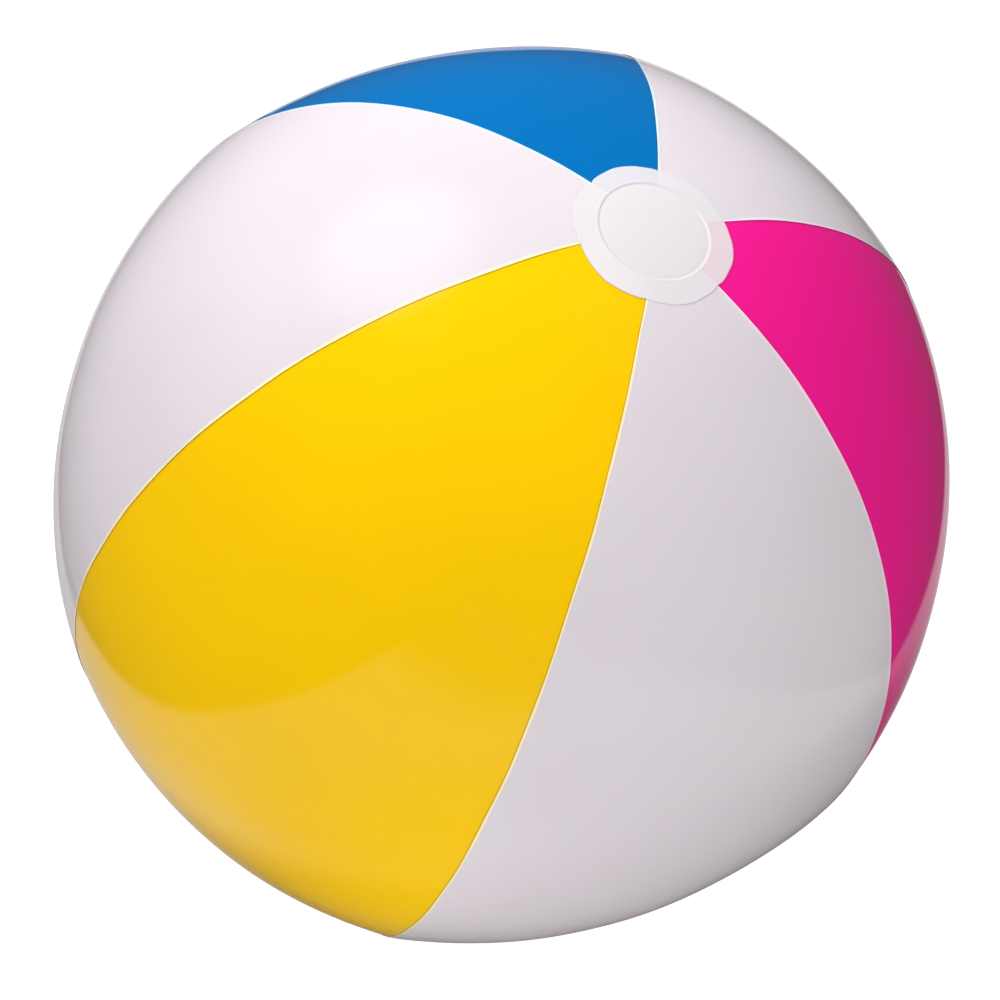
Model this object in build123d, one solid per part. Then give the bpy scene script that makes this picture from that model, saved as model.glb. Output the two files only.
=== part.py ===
from build123d import *
import math
import os

# Inflatable beach ball: six welded film panels, two end caps and a recessed inflation valve.
# Millimetres, +Z up. The origin is the ball's centre, and the polar axis through both caps is Z.
# The six seams lie at azimuths 0, 60, ... 300 degrees, so the panels' middles are at 30, 90, ... 330.
# The ball is modelled blown up, with its valve pushed in and plugged.

# ---- Inflated shape ----
SEAM_RADIUS = 252.0          # from the centre to a seam, on the equator
POLE_RISE = 0.045            # the ball stands a little taller than it is wide: share of the radius
POLE_SHOULDER = 0.019        # share of the radius taken off again close to each pole
PANEL_SINK = 4.0             # how far a panel's middle lies inside the seams' circle, on the equator
SEAM_PITCH = math.radians(60)

# ---- Film ----
FILM = 0.25                  # thickness of the vinyl
FILM_GAP = 0.05              # kept between films that are welded face to face
LAYER = FILM + FILM_GAP
LAP = 3.3                    # coloured film that runs on under the white film at each seam
PANEL_END_RADIUS = 31.0      # the panels stop at this radius, under the cap
CAP_RADIUS = 44.7
PANEL_ROWS = 15              # spline points along a panel, from end to end
PANEL_COLUMNS = 9            # spline points across a panel
CAP_POINTS = 7               # spline points from the pole to the cap's rim

# ---- Valve: heights are measured outward from the outer face of the film around it ----
VALVE_PANEL = "panel_white_back"
PANEL_HOLE_RADIUS = 13.0
FLANGE_INNER_RADIUS = 11.6
FLANGE_OUTER_RADIUS = 21.0
FLANGE_THICKNESS = 0.6
FLANGE_TOP = -0.32
SKIRT_THICKNESS = 0.7
STEM_RADIUS = 5.5
STEM_TOP = 0.6
STEM_BOTTOM = -14.0
LIP_RADIUS = 6.3
LIP_HEIGHT = 1.0
FOOT_RADIUS = 7.0            # the skirt is moulded to the stem's foot
FOOT_TOP = -9.6
FOOT_HEIGHT = 1.0
SOCKET_RADIUS = 4.2          # mouth that the plug closes
SOCKET_DEPTH = 5.5
NOZZLE_RADIUS = 3.6          # bore that a pump's nozzle enters
MOUTH_CHAMFER = 0.3

# ---- Plug and tether: the tether bends about a line beside the mouth ----
PLUG_TOP_RADIUS = 3.9
PLUG_TIP_RADIUS = 2.6
PLUG_LENGTH = 5.0
PLUG_HEAD_RADIUS = 5.6
PLUG_HEAD_THICKNESS = 1.6
PLUG_HEAD_CLEARANCE = 0.15
BEND_X = 8.7
BEND_HEIGHT = 0.1
BEND_RADIUS = 1.15           # to the middle of the tether's thickness
TETHER_WIDTH = 4.4
TETHER_THICKNESS = 0.8
TETHER_GAP = 0.05            # between the tether's ends and the two pieces it joins
COLLAR_INNER_RADIUS = 5.6
COLLAR_OUTER_RADIUS = 7.6
COLLAR_TOP = -0.5

# ---- Check flap on the stem's inner end ----
FLAP_RADIUS = 5.0
FLAP_THICKNESS = 0.4
FLAP_CLEARANCE = 0.2
FLAP_HINGE_X = -4.7

# Each panel's middle azimuth in degrees, and whether its film is coloured.
PANELS = {
    "panel_pink": (30, True),
    "panel_white_back": (90, False),
    "panel_blue": (150, True),
    "panel_white_left": (210, False),
    "panel_yellow": (270, True),
    "panel_white_front": (330, False),
}

# The valve's own frame: z points out of the ball along +Y, and x points down, to the tether.
VALVE_FACE = SEAM_RADIUS - PANEL_SINK + LAYER + FILM
VALVE = Plane(origin=(0, VALVE_FACE, 0), x_dir=(0, 0, -1), z_dir=(0, 1, 0)).location


def seam_profile(theta):
    """Distance from the centre to a seam at polar angle theta."""
    cos2 = math.cos(theta) ** 2
    return SEAM_RADIUS * (1 + POLE_RISE * cos2 - POLE_SHOULDER * cos2 * cos2)


def film_point(theta, azimuth, lift):
    """A point of a film's inner face, which is full at the seams and sunk between them."""
    sink = PANEL_SINK * math.sin(theta) ** 2 * (1 - math.cos(6 * azimuth)) / 2
    radius = seam_profile(theta) - sink + lift
    level = radius * math.sin(theta)
    return Vector(level * math.cos(azimuth), level * math.sin(azimuth), radius * math.cos(theta))


def panel(centre_deg, coloured):
    """One gore of film. Coloured film runs on under its white neighbours, a layer further in."""
    centre = math.radians(centre_deg)
    lift = 0 if coloured else LAYER
    end = math.asin(PANEL_END_RADIUS / seam_profile(0))
    rows = []
    for i in range(PANEL_ROWS):
        theta = end + (math.pi - 2 * end) * i / (PANEL_ROWS - 1)
        half = SEAM_PITCH / 2
        if coloured:
            half += LAP / (seam_profile(theta) * math.sin(theta))
        across = [centre + half * (2 * j / (PANEL_COLUMNS - 1) - 1) for j in range(PANEL_COLUMNS)]
        rows.append([film_point(theta, azimuth, lift) for azimuth in across])
    face = Face.make_surface_from_array_of_points(rows, tol=1e-3, min_deg=3, max_deg=5)
    return Solid.thicken(face, FILM)


def cap(side):
    """Disc of film over the panels' ends: side is 1 at the top of the ball and -1 at the bottom."""
    rim = math.asin(CAP_RADIUS / seam_profile(0))
    under = [film_point(rim * i / (CAP_POINTS - 1), 0, 2 * LAYER) for i in range(CAP_POINTS)]
    over = [film_point(rim * i / (CAP_POINTS - 1), 0, 2 * LAYER + FILM) for i in range(CAP_POINTS)]
    edges = [
        Edge.make_spline(under, tangents=[(1, 0, 0), under[-1] - under[-2]]),
        Edge.make_line(under[-1], over[-1]),
        Edge.make_spline(over, tangents=[(1, 0, 0), over[-1] - over[-2]]),
        Edge.make_line(under[0], over[0]),
    ]
    disc = revolve(Face(Wire(edges)), Axis.Z)
    return disc if side > 0 else disc.mirror(Plane.XY)


def ring(inner, outer, low, high):
    """A plain ring about the valve's axis."""
    tube = Cylinder(outer, high - low) - Cylinder(inner, 2 * (high - low))
    return tube.moved(Location((0, 0, (low + high) / 2)))


def plate(x_low, x_high, z_low, z_high):
    """A strap of the tether's width, along the valve's x axis."""
    size = Box(x_high - x_low, TETHER_WIDTH, z_high - z_low)
    return size.moved(Location(((x_low + x_high) / 2, 0, (z_low + z_high) / 2)))


def turned(outline):
    """A body of revolution about the valve's axis, from points (radius, height)."""
    points = [(radius, 0, height) for radius, height in outline]
    return revolve(Face(Wire.make_polygon(points)), Axis.Z)


def valve_flange():
    """Ring of thick vinyl welded to the inside of the film, bowed like the ball."""
    bow = Sphere(VALVE_FACE + FLANGE_TOP) - Sphere(VALVE_FACE + FLANGE_TOP - FLANGE_THICKNESS)
    slug = ring(FLANGE_INNER_RADIUS, FLANGE_OUTER_RADIUS, 0, 2 * VALVE_FACE)
    return (bow & slug).moved(Location((0, 0, -VALVE_FACE)))


def valve_skirt():
    """Soft cup from the flange down to the stem's foot, which lets the stem be pushed in."""
    half = SKIRT_THICKNESS / 2
    top = (FLANGE_INNER_RADIUS - half - FILM_GAP, FLANGE_TOP - FLANGE_THICKNESS)
    wall = (top[0] - 0.6, FOOT_TOP + 0.4)
    roll = ((wall[0] + FOOT_RADIUS) / 2 + 0.2, FOOT_TOP - 1.6)
    foot = (FOOT_RADIUS + half + FILM_GAP, FOOT_TOP - FOOT_HEIGHT / 2)
    path = Polyline(top, wall) + ThreePointArc(wall, roll, foot)
    cup = trace(path, SKIRT_THICKNESS)
    return revolve(Plane.XZ * cup, Axis.Z)


def valve_stem():
    """Stem with a lip, a foot, the plug's socket and the nozzle's bore."""
    step = STEM_TOP - SOCKET_DEPTH
    return turned([
        (NOZZLE_RADIUS, STEM_BOTTOM),
        (STEM_RADIUS, STEM_BOTTOM),
        (STEM_RADIUS, FOOT_TOP - FOOT_HEIGHT),
        (FOOT_RADIUS, FOOT_TOP - FOOT_HEIGHT),
        (FOOT_RADIUS, FOOT_TOP),
        (STEM_RADIUS, FOOT_TOP),
        (STEM_RADIUS, STEM_TOP - LIP_HEIGHT),
        (LIP_RADIUS, STEM_TOP - LIP_HEIGHT),
        (LIP_RADIUS, STEM_TOP - MOUTH_CHAMFER),
        (LIP_RADIUS - MOUTH_CHAMFER, STEM_TOP),
        (SOCKET_RADIUS + MOUTH_CHAMFER, STEM_TOP),
        (SOCKET_RADIUS, STEM_TOP - MOUTH_CHAMFER),
        (SOCKET_RADIUS, step),
        (NOZZLE_RADIUS, step),
    ])


def tether_collar():
    """Ring around the stem below its lip, with the lug that the tether starts from."""
    lug_middle = BEND_HEIGHT - BEND_RADIUS
    low = lug_middle - TETHER_THICKNESS / 2
    high = lug_middle + TETHER_THICKNESS / 2
    lug = plate(STEM_RADIUS + 1, BEND_X - TETHER_GAP, low, high)
    return ring(COLLAR_INNER_RADIUS, COLLAR_OUTER_RADIUS, low, COLLAR_TOP) + lug


def tether_strap():
    """Half-turn of flat strap that joins the collar's lug to the plug's."""
    outer = BEND_RADIUS + TETHER_THICKNESS / 2
    inner = BEND_RADIUS - TETHER_THICKNESS / 2
    loop = Cylinder(outer, TETHER_WIDTH) - Cylinder(inner, 2 * TETHER_WIDTH)
    loop &= Box(2 * outer, 4 * outer, 2 * TETHER_WIDTH, align=(Align.MIN, Align.CENTER, Align.CENTER))
    return loop.moved(Location((BEND_X, 0, BEND_HEIGHT), (90, 0, 0)))


def valve_plug():
    """Tapered plug with a flat head and the lug that the tether ends at."""
    head_low = STEM_TOP + PLUG_HEAD_CLEARANCE
    head_high = head_low + PLUG_HEAD_THICKNESS
    tip = STEM_TOP - PLUG_LENGTH
    pin = turned([
        (0, tip),
        (PLUG_TIP_RADIUS, tip),
        (PLUG_TOP_RADIUS, STEM_TOP),
        (PLUG_TOP_RADIUS, head_low),
        (PLUG_HEAD_RADIUS, head_low),
        (PLUG_HEAD_RADIUS, head_high - MOUTH_CHAMFER),
        (PLUG_HEAD_RADIUS - MOUTH_CHAMFER, head_high),
        (0, head_high),
    ])
    lug_middle = BEND_HEIGHT + BEND_RADIUS
    low = lug_middle - TETHER_THICKNESS / 2
    high = lug_middle + TETHER_THICKNESS / 2
    return pin + plate(PLUG_TOP_RADIUS, BEND_X - TETHER_GAP, low, high)


def check_flap():
    """Film disc that lies against the stem's inner end, cut straight at its hinge line."""
    high = STEM_BOTTOM - FLAP_CLEARANCE
    disc = Cylinder(FLAP_RADIUS, FLAP_THICKNESS).moved(Location((0, 0, high - FLAP_THICKNESS / 2)))
    land = Box(FLAP_RADIUS, 2 * FLAP_RADIUS, 1, align=(Align.MAX, Align.CENTER, Align.MAX))
    return disc - land.moved(Location((FLAP_HINGE_X, 0, high)))


def with_valve_hole(film):
    """The film with the round hole that the valve shows through."""
    drill = Cylinder(PANEL_HOLE_RADIUS, 8 * PANEL_SINK)
    return film - drill.moved(VALVE)


def build():
    pieces = {name: panel(*spec) for name, spec in PANELS.items()}
    pieces[VALVE_PANEL] = with_valve_hole(pieces[VALVE_PANEL])
    pieces["cap_top"] = cap(1)
    pieces["cap_bottom"] = cap(-1)
    for make in (valve_flange, valve_skirt, valve_stem, tether_collar, tether_strap, valve_plug, check_flap):
        pieces[make.__name__] = make().moved(VALVE)
    return pieces


if __name__ == "__main__":
    os.makedirs("parts", exist_ok=True)
    for name, piece in build().items():
        export_step(piece, f"parts/{name}.step")
        print(name, round(piece.volume, 1))
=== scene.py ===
import math

import bmesh
import bpy
import numpy as np
from mathutils import Matrix, Vector


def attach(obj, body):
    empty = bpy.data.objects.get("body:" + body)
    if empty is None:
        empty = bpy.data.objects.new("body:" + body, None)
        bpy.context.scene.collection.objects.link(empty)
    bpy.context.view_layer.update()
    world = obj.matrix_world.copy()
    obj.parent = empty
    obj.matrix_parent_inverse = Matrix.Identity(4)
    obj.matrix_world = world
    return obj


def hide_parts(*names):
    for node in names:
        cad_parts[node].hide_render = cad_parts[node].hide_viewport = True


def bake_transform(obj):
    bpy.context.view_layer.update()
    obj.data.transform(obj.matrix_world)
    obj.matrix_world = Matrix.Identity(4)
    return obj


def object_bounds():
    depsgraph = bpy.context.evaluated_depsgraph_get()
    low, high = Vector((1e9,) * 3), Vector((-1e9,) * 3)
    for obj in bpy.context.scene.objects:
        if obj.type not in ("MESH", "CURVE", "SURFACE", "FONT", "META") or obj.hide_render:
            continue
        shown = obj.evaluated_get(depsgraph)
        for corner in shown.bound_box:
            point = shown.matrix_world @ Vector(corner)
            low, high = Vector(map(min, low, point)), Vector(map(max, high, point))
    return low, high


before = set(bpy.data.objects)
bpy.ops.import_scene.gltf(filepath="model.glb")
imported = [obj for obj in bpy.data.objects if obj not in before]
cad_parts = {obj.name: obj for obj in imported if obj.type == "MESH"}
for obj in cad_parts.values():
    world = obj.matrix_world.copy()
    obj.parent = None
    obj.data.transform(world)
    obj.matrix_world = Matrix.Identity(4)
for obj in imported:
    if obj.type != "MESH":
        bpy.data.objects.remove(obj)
cad_low, cad_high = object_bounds()
scene = bpy.context.scene
MM = 0.001

# ---- The film's sizes, as the CAD frame has them ----
FILM = 0.25 * MM
LAYER = 0.30 * MM                     # one film and the gap under it
PANEL_END = 31.0 * MM                 # the panels stop here, under the cap
CAP_RADIUS = 44.7 * MM
SEAM_RADIUS = cad_high.x - LAYER - FILM
POLE_RISE = 0.045
POLE_SHOULDER = 0.019
VALVE_Y = SEAM_RADIUS - 4.0 * MM + LAYER + FILM

# ---- The welds and the slack of this ball's panels ----
LAP = 1.3 * MM                        # coloured film seen through the white film beside a seam
WELT = 0.15 * MM                      # how far the white film stands up over the coloured film
OUT_OF_TRUE = {120: 1.5, 240: -1.5}   # degrees by which two seams miss their even places
TAUT = 2 * MM                         # how far a panel's middle sinks between its seams
FAIR = 4 * MM
LOOSE = 8 * MM
SLACK = {
    "pink": FAIR,
    "white_back": FAIR,
    "blue": LOOSE,
    "white_left": TAUT,
    "yellow": TAUT,
    "white_front": LOOSE,
}
KINK = 8.0 * MM                       # how far the bend at a seam is spread to each side
PANELS = ["pink", "white_back", "blue", "white_left", "yellow", "white_front"]
PITCH = math.radians(60)
SEAMS = np.radians([even + OUT_OF_TRUE.get(even, 0) for even in range(0, 360, 60)])
SEAM_ENDS = np.append(SEAMS, SEAMS[0] + 2 * math.pi)

ROWS = 241                            # grid lines from end to end of a panel
MIDDLE = 28                           # grid spaces across a panel, between its two welded edges
LAP_STEPS = [0, 0.3, 0.7, 1]          # grid lines in the lap, as shares of it
EDGE_STEPS = [0.5, 1.1, 2.0, 3.6, 6.0, 9.6]   # grid lines past the lap, in millimetres


# ------------------------------------------------------------------ shape of the blown-up film
def smooth(x):
    """Smooth step from 0 to 1."""
    x = np.clip(x, 0, 1)
    return x * x * (3 - 2 * x)


def seam_profile(theta):
    """Distance from the centre to a seam at polar angle theta."""
    cos2 = np.cos(theta) ** 2
    return SEAM_RADIUS * (1 + POLE_RISE * cos2 - POLE_SHOULDER * cos2 * cos2)


def level_radius(theta):
    """Distance from the polar axis to a seam."""
    return seam_profile(theta) * np.sin(theta)


def direction(theta, azimuth):
    sin = np.sin(theta)
    return np.stack([sin * np.cos(azimuth), sin * np.sin(azimuth), np.cos(theta) + 0 * azimuth], -1)


def waves(along, lengths, seed):
    """Sum of unit sine waves of those lengths in metres, with phases that follow from the seed."""
    total = 0
    for i, length in enumerate(lengths):
        total = total + np.sin(2 * math.pi * along / length + 2.4 * seed + 1.7 * i * seed + i)
    return total / len(lengths)


def seam_line(k, theta):
    """Azimuth of seam k's white edge, which wanders a little."""
    along = SEAM_RADIUS * theta
    wander = 0.5 * MM * waves(along, [0.31, 0.13, 0.071], k + 1)
    return SEAMS[k % 6] + 2 * math.pi * (k // 6) + wander / level_radius(theta)


def lap_width(k, theta):
    return LAP * (1 + 0.35 * waves(SEAM_RADIUS * theta, [0.19, 0.083, 0.045], (k % 6) + 7))


def film_radius(theta, azimuth):
    """Distance from the centre to the inner face of coloured film, with its slack and puckers."""
    turn = np.mod(azimuth - SEAMS[0], 2 * math.pi) + SEAMS[0]
    k = np.clip(np.searchsorted(SEAMS, turn, side="right") - 1, 0, 5)
    left, right = SEAM_ENDS[k], SEAM_ENDS[k + 1]
    to_left = (turn - left) * level_radius(theta)
    to_right = (right - turn) * level_radius(theta)
    near = np.minimum(to_left, to_right)
    rounded = np.sqrt(near * near + KINK * KINK) - KINK
    across = 1 - rounded * 2 / (to_left + to_right)
    chord = 1 - math.cos(PITCH / 2) / np.cos(across * PITCH / 2)
    slack = np.array([SLACK[name] for name in PANELS])[k] / (1 - math.cos(PITCH / 2))
    sin = np.sin(theta)
    radius = seam_profile(theta) - slack * chord * sin * sin
    seam = np.where(to_left < to_right, k, (k + 1) % 6)
    unit = direction(theta, azimuth)
    return radius + pucker(theta, near, seam) + ripple(unit, sin)


def pucker(theta, near, seam):
    """Short wrinkles that run out from a weld and die away."""
    reach = 5.5 * MM
    along = SEAM_RADIUS * theta
    wrinkle = waves(along, [0.0127, 0.0193, 0.031], 0.37 * seam + 3)
    strength = 0.5 + 0.5 * waves(along, [0.17, 0.29], 0.61 * seam + 5)
    fade = smooth((np.sin(theta) - 0.2) / 0.4)
    return 0.16 * MM * fade * strength * wrinkle * near / reach * np.exp(1 - near / reach)


def ripple(unit, sin):
    """Broad, shallow unevenness of the whole film."""
    total = 0
    for i, turns in enumerate([7.0, 11.0, 17.0]):
        a = np.sin(turns * unit[..., 0] + 1.3 * i)
        b = np.sin(turns * unit[..., 1] + 2.1 * i + 1)
        c = np.sin(turns * unit[..., 2] + 0.7 * i + 2)
        total = total + (a * b + b * c + c * a) / turns
    return 1.1 * MM * total * sin ** 2


def on_ball(theta, azimuth, lift):
    return direction(theta, azimuth) * (film_radius(theta, azimuth) + lift)[..., None]


# ------------------------------------------------------------------ mesh helpers
def quads(index):
    """Faces of a grid of vertex numbers."""
    corners = [index[:-1, :-1], index[:-1, 1:], index[1:, 1:], index[1:, :-1]]
    return np.stack(corners, -1).reshape(-1, 4).tolist()


def edge_loop(index):
    """Vertex numbers round the border of a grid."""
    return np.concatenate([index[0, :-1], index[:-1, -1], index[-1, :0:-1], index[:0:-1, 0]])


def band(loop, other):
    """Faces between two closed loops of vertex numbers."""
    after, other_after = np.roll(loop, -1), np.roll(other, -1)
    return np.stack([loop, after, other_after, other], -1).tolist()


def make_piece(name, points, faces, materials, slots, sharp=40):
    """A mesh object with outward normals, smooth except at edges sharper than that angle."""
    mesh = bpy.data.meshes.new(name)
    mesh.from_pydata([tuple(p) for p in points], [], faces)
    for material in materials:
        mesh.materials.append(material)
    mesh.polygons.foreach_set("material_index", slots)
    work = bmesh.new()
    work.from_mesh(mesh)
    bmesh.ops.recalc_face_normals(work, faces=work.faces)
    limit = math.radians(sharp)
    for edge in work.edges:
        edge.smooth = len(edge.link_faces) == 2 and edge.calc_face_angle(0) < limit
    for face in work.faces:
        face.smooth = True
    work.to_mesh(mesh)
    work.free()
    piece = bpy.data.objects.new(name, mesh)
    scene.collection.objects.link(piece)
    return piece


# ------------------------------------------------------------------ materials
def ramp(tree, source, low, high, to_low, to_high):
    """Maps a value from one range to another."""
    node = tree.nodes.new("ShaderNodeMapRange")
    node.inputs["From Min"].default_value = low
    node.inputs["From Max"].default_value = high
    node.inputs["To Min"].default_value = to_low
    node.inputs["To Max"].default_value = to_high
    tree.links.new(source, node.inputs["Value"])
    return node.outputs["Result"]


def noise(tree, scale, detail=2.0, stretch=(1, 1, 1)):
    """Noise in object coordinates; scale is in cycles per metre."""
    place = tree.nodes.new("ShaderNodeTexCoord")
    mapping = tree.nodes.new("ShaderNodeMapping")
    mapping.inputs["Scale"].default_value = stretch
    texture = tree.nodes.new("ShaderNodeTexNoise")
    texture.inputs["Scale"].default_value = scale
    texture.inputs["Detail"].default_value = detail
    tree.links.new(place.outputs["Object"], mapping.inputs["Vector"])
    tree.links.new(mapping.outputs["Vector"], texture.inputs["Vector"])
    return texture.outputs["Fac"]


def blend_colours(tree, factor, first, second):
    node = tree.nodes.new("ShaderNodeMix")
    node.data_type = "RGBA"
    node.inputs["A"].default_value = (*first, 1)
    node.inputs["B"].default_value = (*second, 1)
    tree.links.new(factor, node.inputs["Factor"])
    return node.outputs["Result"]


def bump(tree, height, strength, distance, after=None):
    node = tree.nodes.new("ShaderNodeBump")
    node.inputs["Strength"].default_value = strength
    node.inputs["Distance"].default_value = distance
    tree.links.new(height, node.inputs["Height"])
    if after is not None:
        tree.links.new(after, node.inputs["Normal"])
    return node.outputs["Normal"]


def vinyl(name, colour, shade, glow, through=0.2, gloss=0.5, rough=(0.03, 0.07)):
    """Glossy blown-up vinyl film: uneven colour, a soft haze, fine grain, and light that comes through it."""
    material = bpy.data.materials.new(name)
    material.use_nodes = True
    tree = material.node_tree
    shader = tree.nodes["Principled BSDF"]
    output = tree.nodes["Material Output"]
    broad = ramp(tree, noise(tree, 7.0, 3.0), 0.35, 0.65, 0, 1)
    tone = blend_colours(tree, broad, colour, shade)
    tree.links.new(tone, shader.inputs["Base Color"])
    haze = noise(tree, 55.0, 4.0)
    tree.links.new(ramp(tree, haze, 0.3, 0.7, *rough), shader.inputs["Roughness"])
    shader.inputs["IOR"].default_value = 1.5
    shader.inputs["Specular IOR Level"].default_value = gloss
    swell = bump(tree, noise(tree, 24.0, 2.0), 0.12, 0.0006)
    grain = bump(tree, noise(tree, 1600.0, 2.0), 0.25, 0.00002, swell)
    tree.links.new(grain, shader.inputs["Normal"])
    back = tree.nodes.new("ShaderNodeBsdfTranslucent")
    back.inputs["Color"].default_value = (*glow, 1)
    mix = tree.nodes.new("ShaderNodeMixShader")
    mix.inputs["Fac"].default_value = through
    tree.links.new(shader.outputs["BSDF"], mix.inputs[1])
    tree.links.new(back.outputs["BSDF"], mix.inputs[2])
    tree.links.new(mix.outputs["Shader"], output.inputs["Surface"])
    return material


def moulded(name, colour, shade, rough=(0.28, 0.42)):
    """Soft moulded vinyl of the valve: cloudy tone, satin skin and a fine moulding texture."""
    material = bpy.data.materials.new(name)
    material.use_nodes = True
    tree = material.node_tree
    shader = tree.nodes["Principled BSDF"]
    cloud = ramp(tree, noise(tree, 140.0, 3.0), 0.3, 0.7, 0, 1)
    tree.links.new(blend_colours(tree, cloud, colour, shade), shader.inputs["Base Color"])
    tree.links.new(ramp(tree, noise(tree, 600.0, 3.0), 0.3, 0.7, *rough), shader.inputs["Roughness"])
    shader.inputs["Subsurface Weight"].default_value = 0.25
    shader.inputs["Subsurface Radius"].default_value = (0.003, 0.003, 0.003)
    shader.inputs["Subsurface Scale"].default_value = 0.5
    tree.links.new(bump(tree, noise(tree, 2500.0, 2.0), 0.3, 0.00003), shader.inputs["Normal"])
    return material


def scaled(colour, factor):
    return tuple(c * factor for c in colour)


def mixed(first, second, share):
    return tuple(a + (b - a) * share for a, b in zip(first, second))


WHITE = (0.78, 0.73, 0.77)
WHITE_SHADE = (0.75, 0.70, 0.74)
CAP = (0.80, 0.765, 0.795)
COLOURS = {
    "yellow": (0.96, 0.60, 0.0),
    "blue": (0.0, 0.16, 0.47),
    "pink": (0.92, 0.01, 0.30),
}
LAP_TINTS = {
    "yellow": (1.0, 0.86, 0.50),
    "blue": (0.68, 0.84, 0.93),
    "pink": (0.97, 0.74, 0.86),
}
CAP_TINTS = {"yellow": 0.02, "blue": 0.09, "pink": 0.12}   # share of the colour that shows through the cap

film = {"white": vinyl("film_white", WHITE, WHITE_SHADE, (0.86, 0.80, 0.84), 0.25)}
for hue, colour in COLOURS.items():
    film[hue] = vinyl(f"film_{hue}", colour, scaled(colour, 0.95), colour, 0.18)
    # The 0.5 mm strip of coloured film just outside each white edge is the film darkened: painted shadow of
    # the white film's raised edge.
    dark = scaled(colour, 0.6)
    film[f"weld_{hue}"] = vinyl(f"film_{hue}_weld_painted_shadow", dark, scaled(dark, 0.9), colour, 0.1)
    tint = LAP_TINTS[hue]
    film[f"lap_{hue}"] = vinyl(f"film_white_over_{hue}", tint, scaled(tint, 0.95), tint, 0.15)
    under = mixed(CAP, colour, CAP_TINTS[hue])
    film[f"cap_{hue}"] = vinyl(f"cap_film_over_{hue}", under, scaled(under, 0.97), under, 0.2)
# The cut edges take a darker copy of the white film: painted shade on the films' edge walls and on the cap's
# outermost band.
SHADED_EDGE = (0.68, 0.62, 0.66)
film["edge"] = vinyl("film_cut_edge_painted_shade", SHADED_EDGE, scaled(SHADED_EDGE, 0.9), SHADED_EDGE, 0.1)
film["cap"] = vinyl("cap_film", CAP, scaled(CAP, 0.97), (0.86, 0.82, 0.84), 0.25)


# ------------------------------------------------------------------ panels
def columns(name, theta):
    """Azimuths of a panel's grid lines at each theta, and how far its white film is lifted there."""
    k = PANELS.index(name)
    coloured = name in COLOURS
    level = level_radius(theta)
    lines, lifts = [], []
    for seam in (k, k + 1):
        width = lap_width(seam, theta)
        shares = [s - 1 if coloured else s for s in LAP_STEPS]
        steps = [share * width for share in shares]
        steps += [(0 if coloured else width) + step * MM for step in EDGE_STEPS]
        welt = WELT * smooth((level - CAP_RADIUS) / (20 * MM))
        raised = [welt] * len(LAP_STEPS) + [0.15 * welt] + [0 * welt] * (len(EDGE_STEPS) - 1)
        inward = 1 if seam == k else -1
        edge = [seam_line(seam, theta) + inward * step / level for step in steps]
        lines.append(edge if seam == k else edge[::-1])
        lifts.append(raised if seam == k else raised[::-1])
    first, last = lines[0][-1], lines[1][0]
    middle = [first + (last - first) * i / MIDDLE for i in range(1, MIDDLE)]
    flat = [0 * theta] * (MIDDLE - 1)
    azimuth = np.stack(lines[0] + middle + lines[1], -1)
    raise_by = np.stack(lifts[0] + flat + lifts[1], -1)
    return azimuth, 0 * raise_by if coloured else LAYER + raise_by


def column_slots(name, count):
    """Material slot of each grid space across a panel: 1 and 2 beside its seams, 0 between."""
    slots = np.zeros(count, int)
    laps = len(LAP_STEPS) - 1
    if name in COLOURS:
        # on a coloured panel, slot 1 is the darkened strip just outside the white film's edge: painted shadow
        slots[laps] = 1
        slots[-laps - 1] = 1
    else:
        slots[:laps] = 1
        slots[-laps:] = 2
    return slots


def panel_materials(name):
    if name in COLOURS:
        return [film[name], film[f"weld_{name}"]]
    k = PANELS.index(name)
    return [film["white"], film[f"lap_{PANELS[k - 1]}"], film[f"lap_{PANELS[(k + 1) % 6]}"]]


FLANGE_WELD = [                       # (distance from the valve's axis, height over the film), millimetres
    (25.5, 0), (23.0, 0), (22.0, 0), (21.5, -0.18), (21.0, 0.10), (20.4, 0.22), (19.6, 0.10),
    (19.0, -0.12), (18.4, 0.08), (17.2, 0.10), (16.6, -0.12), (16.0, 0.10), (15.0, 0.12), (14.0, 0.12),
    (13.4, 0.08), (13.0, 0),
]
WINDOW_ROWS = 12                      # grid spaces from the valve's axis to the border of its patch
WINDOW_COLUMNS = 4


def valve_patch(loop, points, start):
    """Rings of film from a window's border in to the valve's hole, with the flange's weld pressed in."""
    border = points[loop]
    plane = border[:, [0, 2]]
    unit = plane / np.linalg.norm(plane, axis=1)[:, None]
    outermost = FLANGE_WELD[0][0] * MM
    rings = [plane + (unit * outermost - plane) * share for share in (0.35, 0.7)]
    lifts = [0, 0] + [height * MM for _, height in FLANGE_WELD]
    rings += [unit * radius * MM for radius, _ in FLANGE_WELD]
    outer = [place_on_film(ring, lift) for ring, lift in zip(rings, lifts)]
    return np.array(outer), start + np.arange(len(rings) * len(loop)).reshape(len(rings), -1)


def place_on_film(ring, lift):
    """Points of white film above the given places in the valve's plane."""
    x, z = ring[:, 0], ring[:, 1]
    y = np.full(len(x), VALVE_Y)
    for _ in range(4):
        length = np.sqrt(x * x + y * y + z * z)
        radius = film_radius(np.arccos(z / length), np.arctan2(y, x)) + LAYER + FILM + lift
        y = np.sqrt(radius * radius - x * x - z * z)
    return np.stack([x, y, z], -1)


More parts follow.
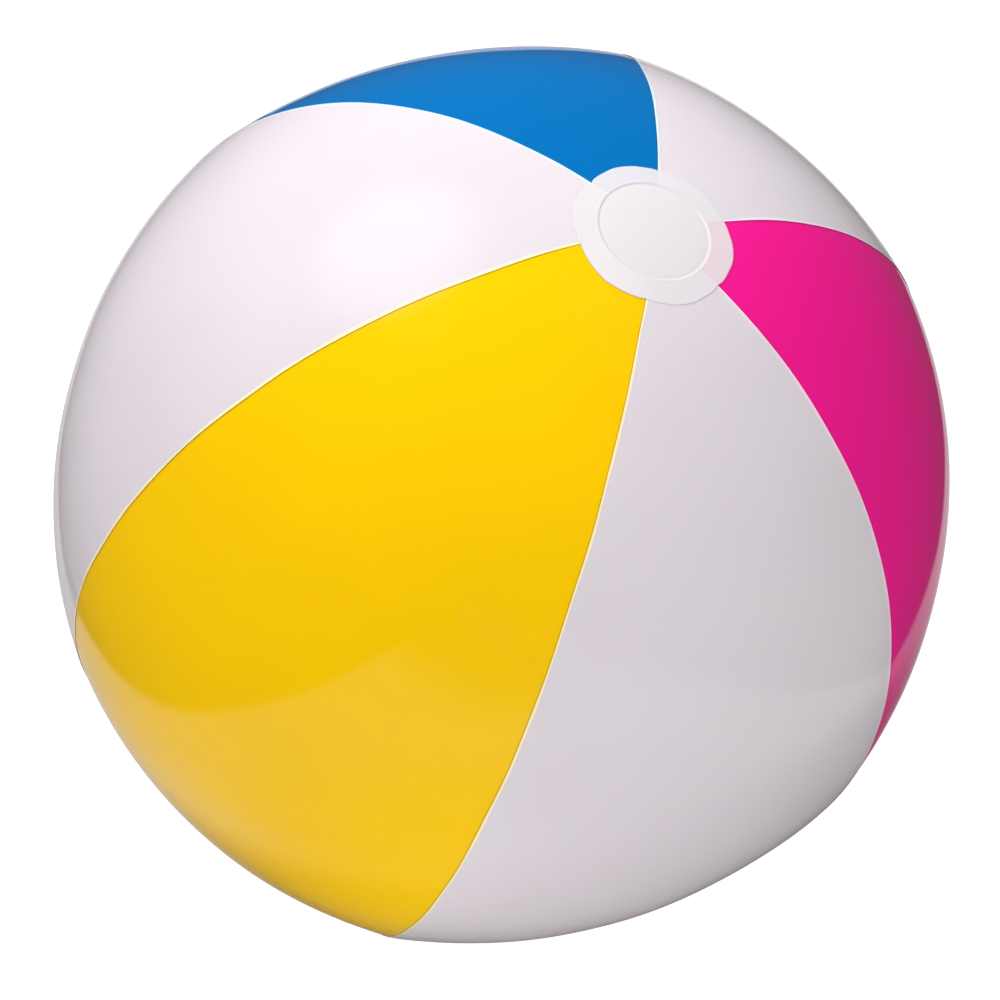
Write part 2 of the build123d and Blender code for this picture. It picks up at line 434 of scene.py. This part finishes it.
def panel(name):
    """One panel of film as a closed shell."""
    end = math.asin(PANEL_END / seam_profile(0))
    theta = np.linspace(end, math.pi - end, ROWS)
    azimuth, lift = columns(name, theta)
    wide = np.broadcast_to(theta[:, None], azimuth.shape)
    outer = on_ball(wide, azimuth, lift + FILM).reshape(-1, 3)
    index = np.arange(len(outer)).reshape(azimuth.shape)
    slots = np.tile(column_slots(name, azimuth.shape[1] - 1), ROWS - 1)
    faces = np.array(quads(index))
    holes = []
    if name == "white_back":
        row, column = ROWS // 2, azimuth.shape[1] // 2
        window = index[
            row - WINDOW_ROWS : row + WINDOW_ROWS + 1,
            column - WINDOW_COLUMNS : column + WINDOW_COLUMNS + 1,
        ]
        inside = np.isin(faces, window).all(1)
        faces, slots = faces[~inside], slots[~inside]
        loop = edge_loop(window)
        rings, ring_index = valve_patch(loop, outer, len(outer))
        outer = np.concatenate([outer, rings.reshape(-1, 3)])
        chain = np.vstack([loop, ring_index])
        patch = [face for a, b in zip(chain, chain[1:]) for face in band(a, b)]
        faces = np.concatenate([faces, patch])
        slots = np.concatenate([slots, np.zeros(len(patch), int)])
        holes.append(chain[-1])
    return close_shell("gore_" + name, outer, faces, slots, [edge_loop(index)] + holes, panel_materials(name))


def close_shell(name, outer, faces, slots, loops, materials):
    """Adds the inner face, one film's thickness further in, and the cut edges round the loops."""
    count = len(outer)
    length = np.linalg.norm(outer, axis=1)[:, None]
    inner = outer * (1 - FILM / length)
    all_faces = np.asarray(faces).tolist() + (np.asarray(faces)[:, ::-1] + count).tolist()
    all_slots = list(slots) * 2
    for loop in loops:
        # the cut edges round the loops take the darkened edge colour: painted shade
        wall = band(loop, loop + count)
        all_faces += wall
        all_slots += [len(materials)] * len(wall)
    points = np.concatenate([outer, inner])
    used = np.zeros(len(points), bool)
    used[[v for face in all_faces for v in face]] = True
    renumber = np.cumsum(used) - 1
    all_faces = [[int(renumber[v]) for v in face] for face in all_faces]
    return make_piece(name, points[used], all_faces, materials + [film["edge"]], all_slots)


for name in PANELS:
    piece = panel(name)
    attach(piece, "skin")
    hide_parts("panel_" + name)


# ------------------------------------------------------------------ end caps
CAP_STEPS = 24                        # grid spaces round each sixth of a cap
CAP_RINGS = [                         # (distance from the pole, height over the film below), millimetres
    (4, 0.45), (9, 0.45), (14, 0.45), (19, 0.45), (24, 0.45), (27.5, 0.45), (29.2, 0.43), (30.0, 0.33),
    (30.5, 0.40), (31.0, 0.82), (31.5, 0.98), (32.0, 0.92), (32.8, 0.86), (35, 0.85), (38, 0.85), (41, 0.85),
    (43.2, 0.88), (44.0, 0.95), (44.4, 0.90), (44.7, 0.62),
]


CAP_TINT_FROM = 31.5                  # coloured film shows through the cap from here, outside the ring
CAP_CUT_FROM = 44.4                   # the cut edge
CAP_RAGGED_FROM = 33                  # the cap gets less round from here, over this distance
CAP_RAGGED_OVER = 8


def cap_outline(azimuth):
    """Share of the cap's radius: a little off centre, fuller over the panels and nicked at the seams."""
    lobes = 0.011 * np.cos(6 * (azimuth - math.radians(30))) + 0.025 * np.cos(azimuth - math.radians(318))
    nick = 0
    for seam in SEAMS:
        apart = np.degrees(np.mod(azimuth - seam + math.pi, 2 * math.pi) - math.pi)
        nick = nick + 0.016 * np.exp(-((apart / 2.2) ** 2))
    return 0.985 + lobes - nick + 0.004 * np.sin(17 * azimuth) * np.sin(5 * azimuth)


def end_cap(name, up):
    """Disc of film over the panels' ends, with the ring where they stop pressed into it."""
    parts = [SEAMS[k] + PITCH * np.arange(CAP_STEPS) / CAP_STEPS * gap(k) for k in range(6)]
    azimuth = np.concatenate(parts)
    rings = []
    for distance, lift in CAP_RINGS:
        outward = smooth((distance - CAP_RAGGED_FROM) / CAP_RAGGED_OVER)
        reach = distance * MM * (1 + (cap_outline(azimuth) - 1) * outward)
        theta = np.arcsin(reach / seam_profile(0))
        theta = theta if up else math.pi - theta
        rings.append(on_ball(theta, azimuth, np.full(len(azimuth), lift * MM)))
    pole_z = (seam_profile(0) + CAP_RINGS[0][1] * MM) * (1 if up else -1)
    outer = np.concatenate([[(0, 0, pole_z)], np.concatenate(rings)])
    index = 1 + np.arange(len(rings) * len(azimuth)).reshape(len(rings), -1)
    faces = [[0, a, b] for a, b in zip(index[0], np.roll(index[0], -1))]
    slots = [0] * len(faces)
    for i in range(len(rings) - 1):
        faces += band(index[i], index[i + 1])
        slots += ring_slots(i)
    return close_cap(name, outer, faces, slots, index[-1])


def gap(k):
    """The angle between two seams, as a share of a sixth of a turn."""
    return (SEAM_ENDS[k + 1] - SEAM_ENDS[k]) / PITCH


def ring_slots(i):
    """Material slots round one ring of the cap: tinted where coloured film lies beneath."""
    distance = CAP_RINGS[i][0]
    # from the cut edge out the cap takes the darkened edge colour: painted shade at its rim
    if distance >= CAP_CUT_FROM:
        return [4] * (6 * CAP_STEPS)
    tinted = distance > CAP_TINT_FROM
    order = {"pink": 1, "blue": 2, "yellow": 3}
    return [order.get(name, 0) if tinted else 0 for name in PANELS for _ in range(CAP_STEPS)]


def close_cap(name, outer, faces, slots, rim):
    count = len(outer)
    inner = outer * (1 - 0.8 * FILM / np.linalg.norm(outer, axis=1)[:, None])
    below = [[v + count for v in face[::-1]] for face in faces]
    wall = band(rim, rim + count)
    all_slots = slots + slots + [4] * len(wall)
    materials = [film["cap"], film["cap_pink"], film["cap_blue"], film["cap_yellow"], film["edge"]]
    points = np.concatenate([outer, inner])
    return make_piece(name, points, faces + below + wall, materials, all_slots)


for name, node, up in (("end_cap_top", "cap_top", True), ("end_cap_bottom", "cap_bottom", False)):
    piece = end_cap(name, up)
    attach(piece, "skin")
    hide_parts(node)


# ------------------------------------------------------------------ valve
VALVE_TO_ROW = Matrix(((0, -1, 0, 0), (0, 0, 1, VALVE_Y), (-1, 0, 0, 0), (0, 0, 0, 1)))


def lathe(name, section, turn, steps, material):
    """A closed section (radius, height) turned about the valve's axis by that angle in degrees."""
    section = np.array(section) * MM
    full = turn >= 360
    count = steps if full else steps + 1
    angles = np.radians(np.arange(count) * turn / steps)
    rings = [[(r * math.cos(a), r * math.sin(a), h) for r, h in section] for a in angles]
    points = np.array(rings).reshape(-1, 3)
    index = np.arange(len(points)).reshape(count, -1)
    faces = []
    for i in range(count if full else count - 1):
        faces += band(index[i], index[(i + 1) % count])
    if not full:
        faces += [index[0].tolist(), index[-1].tolist()[::-1]]
    return make_piece(name, points, faces, [material], [0] * len(faces), 50)


def thick_line(path, thickness, samples=8):
    """Closed section of that thickness about a smooth line through the path's points."""
    path = np.array(path, float)
    padded = np.vstack([2 * path[0] - path[1], path, 2 * path[-1] - path[-2]])
    line = []
    for p0, p1, p2, p3 in zip(padded, padded[1:], padded[2:], padded[3:]):
        for t in np.arange(samples) / samples:
            line.append(0.5 * (2 * p1 + (p2 - p0) * t + (2 * p0 - 5 * p1 + 4 * p2 - p3) * t * t
                               + (3 * p1 - p0 - 3 * p2 + p3) * t ** 3))
    line = np.array(line + [path[-1]])
    along = np.gradient(line, axis=0)
    along /= np.linalg.norm(along, axis=1)[:, None]
    normal = np.stack([-along[:, 1], along[:, 0]], -1)
    half = thickness / 2
    return np.vstack([line + normal * half, (line - normal * half)[::-1]])


valve_vinyl = moulded("valve_soft_vinyl", (0.74, 0.74, 0.76), (0.68, 0.69, 0.72))
plug_vinyl = moulded("valve_plug_vinyl", (0.78, 0.78, 0.80), (0.72, 0.72, 0.75), (0.22, 0.36))
skirt_vinyl = moulded("valve_skirt_vinyl", (0.70, 0.71, 0.74), (0.64, 0.65, 0.69), (0.30, 0.45))
flange_vinyl = moulded("valve_flange_vinyl", (0.72, 0.72, 0.74), (0.66, 0.66, 0.69), (0.30, 0.40))
flap_vinyl = moulded("check_flap_vinyl", (0.76, 0.75, 0.76), (0.70, 0.69, 0.71), (0.20, 0.32))

skirt_path = [(11.2, -0.95), (11.25, -2.2), (10.85, -3.6), (11.1, -5.0), (10.7, -6.4), (10.9, -7.8),
              (10.6, -9.2), (10.1, -10.7), (9.1, -11.2), (8.1, -10.8), (7.4, -10.1), (6.8, -10.1)]
skirt = lathe("valve_skirt_soft", thick_line(skirt_path, 0.62, 5), 360, 72, skirt_vinyl)
skirt.matrix_world = VALVE_TO_ROW
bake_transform(skirt)
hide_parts("valve_skirt")

FOLD_X = 8.7                          # the line the strap folds about, from the valve's axis
FOLD_HEIGHT = 0.1
STRAP_WIDTH = 4.3
STRAP_HALF = 1.15                     # from that line to the middle of the strap


def strap():
    """Half-turn of strap beside the valve's mouth, thinned where it folds."""
    points, faces = [], []
    inner = [(-0.36, -1), (-0.4, -0.9), (-0.4, 0.9), (-0.36, 1)]
    outline = inner + [(-across, side) for across, side in reversed(inner)]
    steps = 24
    for i in range(steps + 1):
        angle = math.pi * (i / steps - 0.5)
        thin = 1 - 0.3 * math.exp(-((angle / 0.35) ** 2))
        for across, side in outline:
            radius = STRAP_HALF + across * thin
            out = FOLD_X + radius * math.cos(angle)
            up = FOLD_HEIGHT + radius * math.sin(angle)
            points.append((out, side * STRAP_WIDTH / 2, up))
    index = np.arange(len(points)).reshape(steps + 1, -1)
    for i in range(steps):
        faces += band(index[i], index[i + 1])
    faces += [index[0].tolist(), index[-1].tolist()[::-1]]
    return make_piece("valve_tether_strap", np.array(points) * MM, faces, [plug_vinyl], [0] * len(faces), 50)


strap_piece = strap()
strap_piece.matrix_world = VALVE_TO_ROW
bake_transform(strap_piece)
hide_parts("tether_strap")

for node, material in (
    ("valve_stem", valve_vinyl),
    ("tether_collar", valve_vinyl),
    ("valve_plug", plug_vinyl),
    ("valve_flange", flange_vinyl),
    ("check_flap", flap_vinyl),
):
    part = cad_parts[node]
    part.data.materials.clear()
    part.data.materials.append(material)
    weld = part.modifiers.new("weld", "WELD")
    weld.merge_threshold = 0.002 * MM
    soften = part.modifiers.new("soften", "BEVEL")
    soften.width = 0.12 * MM
    soften.segments = 2
    soften.limit_method = "ANGLE"
    soften.angle_limit = math.radians(50)

# ------------------------------------------------------------------ camera
AZIMUTH, ELEVATION, ROLL = math.radians(11.9), math.radians(51.7), math.radians(29.9)
DISTANCE = 11.35 * SEAM_RADIUS
LENS = 183
LEVEL_RIGHT = Vector((math.cos(AZIMUTH), math.sin(AZIMUTH), 0))
LEVEL_BACK = Vector((math.sin(AZIMUTH), -math.cos(AZIMUTH), 0))
BACK = LEVEL_BACK * math.cos(ELEVATION) + Vector((0, 0, math.sin(ELEVATION)))
LEVEL_UP = BACK.cross(LEVEL_RIGHT)
RIGHT = LEVEL_RIGHT * math.cos(ROLL) + LEVEL_UP * math.sin(ROLL)
UP = LEVEL_UP * math.cos(ROLL) - LEVEL_RIGHT * math.sin(ROLL)


def view_direction(x, y, z):
    """A direction given as right, up and towards the camera."""
    return (RIGHT * x + UP * y + BACK * z).normalized()


camera_data = bpy.data.cameras.new("camera")
camera_data.lens = LENS
camera_data.sensor_width = 36
camera = bpy.data.objects.new("camera", camera_data)
scene.collection.objects.link(camera)
aside = RIGHT * -1.2 * MM + UP * -2.4 * MM
turned = Matrix((RIGHT, UP, BACK)).transposed().to_4x4()
camera.matrix_world = Matrix.Translation(BACK * DISTANCE + aside) @ turned
scene.camera = camera


# ------------------------------------------------------------------ floor and light
def softbox(name, towards, distance, width, power):
    """A square area light that faces the ball."""
    light = bpy.data.lights.new(name, "AREA")
    light.shape = "SQUARE"
    light.size = width
    light.energy = power
    holder = bpy.data.objects.new(name, light)
    scene.collection.objects.link(holder)
    holder.location = towards * distance
    holder.rotation_mode = "QUATERNION"
    holder.rotation_quaternion = towards.to_track_quat("Z", "Y")
    holder.visible_camera = False
    return holder


FLOOR_BOUNCE = 0.25                   # light that the floor gives the ball, and how bright it looks
FLOOR_SHOWN = 0.9


def floor():
    bpy.ops.mesh.primitive_plane_add(size=30, location=(0, 0, cad_low.z - 0.5 * MM))
    plane = bpy.context.object
    plane.name = "floor"
    material = bpy.data.materials.new("floor")
    material.use_nodes = True
    shader = material.node_tree.nodes["Principled BSDF"]
    tree = material.node_tree
    shader.inputs["Base Color"].default_value = (0.35, 0.35, 0.35, 1)
    shader.inputs["Roughness"].default_value = 0.9
    shader.inputs["Emission Color"].default_value = (1, 1, 1, 1)
    ray = tree.nodes.new("ShaderNodeLightPath")
    seen = ramp(tree, ray.outputs["Is Camera Ray"], 0, 1, FLOOR_BOUNCE, FLOOR_SHOWN)
    tree.links.new(seen, shader.inputs["Emission Strength"])
    plane.data.materials.append(material)
    plane.visible_glossy = False


AMBIENT = (0.2, 0.2, 0.2)

# ---- The studio that the gloss picks up: white paper under the ball, curved up behind it, and a softbox ----
# Directions are right, up and towards the camera. Fades run between two angles from them, in degrees.
CAMERA_TILT = math.radians(20)        # the camera looks down at the paper by this much
PAPER_DROP = math.radians(40)         # the paper's side edges lie this far below the ball's level
DOWN = (0, -math.cos(CAMERA_TILT), -math.sin(CAMERA_TILT))
BEHIND = (0, -0.2, -1)
NEAR = (0, -math.sin(CAMERA_TILT), math.cos(CAMERA_TILT))     # the paper fades out towards the camera
SHADE = (0.15, -0.6, -0.8)            # where the ball's own shadow falls on the paper
SOFTBOX = (-0.4, 0.85, 0.35)
STUDIO = 0.08                         # brightnesses: the dark studio, the paper and the softbox
PAPER = 0.6
SOFTBOX_LIGHT = 2.2
SHADE_LEFT = 0.03                     # share of the paper's light that is left in the ball's shadow
CONTACT_LEFT = 0.35                   # and right under the ball
SIDE_FADE = (89, 91)
BEHIND_FADE = (23, 25)
NEAR_FADE = (25, 45)
SHADE_FADE = (25, 36)
CONTACT_FADE = (12, 48)
SOFTBOX_FADE = (8, 23)


def paper_side(side):
    """Direction square to one straight edge of the paper: side is 1 for the right edge, -1 for the left."""
    drop = math.cos(PAPER_DROP)
    return side * math.sin(PAPER_DROP), DOWN[1] * drop, DOWN[2] * drop


def facing(tree, place, towards, low, high, outside, inside):
    """Inside up to the low angle from that direction, outside past the high one, and a fade between."""
    dot = tree.nodes.new("ShaderNodeVectorMath")
    dot.operation = "DOT_PRODUCT"
    dot.inputs[1].default_value = view_direction(*towards)
    tree.links.new(place.outputs["Generated"], dot.inputs[0])
    edges = [math.cos(math.radians(angle)) for angle in (high, low)]
    value = ramp(tree, dot.outputs["Value"], *edges, outside, inside)
    value.node.interpolation_type = "SMOOTHSTEP"
    return value


def combine(tree, operation, values):
    """Several values joined two by two with a maths operation."""
    total = values[0]
    for value in values[1:]:
        node = tree.nodes.new("ShaderNodeMath")
        node.operation = operation
        tree.links.new(total, node.inputs[0])
        tree.links.new(value, node.inputs[1])
        total = node.outputs["Value"]
    return total


def surroundings():
    """Even soft light, a dark studio with paper and a softbox in the ball's gloss, and white behind it."""
    world = bpy.data.worlds.new("studio")
    world.use_nodes = True
    tree = world.node_tree
    place = tree.nodes.new("ShaderNodeTexCoord")
    right, left = [facing(tree, place, paper_side(side), *SIDE_FADE, 0, 1) for side in (1, -1)]
    fade = facing(tree, place, NEAR, *NEAR_FADE, 1, 0)
    bed = combine(tree, "MULTIPLY", [right, left, fade])
    paper = combine(tree, "MAXIMUM", [bed, facing(tree, place, BEHIND, *BEHIND_FADE, 0, 1)])
    shade = facing(tree, place, SHADE, *SHADE_FADE, PAPER, SHADE_LEFT)
    contact = facing(tree, place, DOWN, *CONTACT_FADE, 1, CONTACT_LEFT)
    lit_paper = combine(tree, "MULTIPLY", [paper, shade, contact])
    window = facing(tree, place, SOFTBOX, *SOFTBOX_FADE, STUDIO, SOFTBOX_LIGHT)
    reflected = tree.nodes.new("ShaderNodeBackground")
    reflected.name = "reflected"
    tree.links.new(combine(tree, "ADD", [lit_paper, window]), reflected.inputs["Strength"])
    soft = tree.nodes["Background"]
    soft.inputs["Color"].default_value = (*AMBIENT, 1)
    white = tree.nodes.new("ShaderNodeBackground")
    for plain in (reflected, white):
        plain.inputs["Color"].default_value = (1, 1, 1, 1)
    ray = tree.nodes.new("ShaderNodeLightPath")
    shader = soft.outputs["Background"]
    for kind, seen in (("Is Glossy Ray", reflected), ("Is Camera Ray", white)):
        mix = tree.nodes.new("ShaderNodeMixShader")
        tree.links.new(ray.outputs[kind], mix.inputs["Fac"])
        tree.links.new(shader, mix.inputs[1])
        tree.links.new(seen.outputs["Background"], mix.inputs[2])
        shader = mix.outputs["Shader"]
    tree.links.new(shader, tree.nodes["World Output"].inputs["Surface"])
    scene.world = world


floor()
surroundings()
LIGHT_DISTANCE = 2.5
LIGHTS = {                            # plain white softboxes: direction, width in metres, watts
    "key": (SOFTBOX, 2.4, 92),
    "fill": ((0.5, 0.6, 0.5), 1.6, 30),
    "bounce": ((0, -0.75, 0.65), 1.6, 54),
}
for name, (towards, width, power) in LIGHTS.items():
    light = softbox(name, view_direction(*towards), LIGHT_DISTANCE, width, power)
    light.visible_glossy = False
scene.view_settings.view_transform = "Standard"
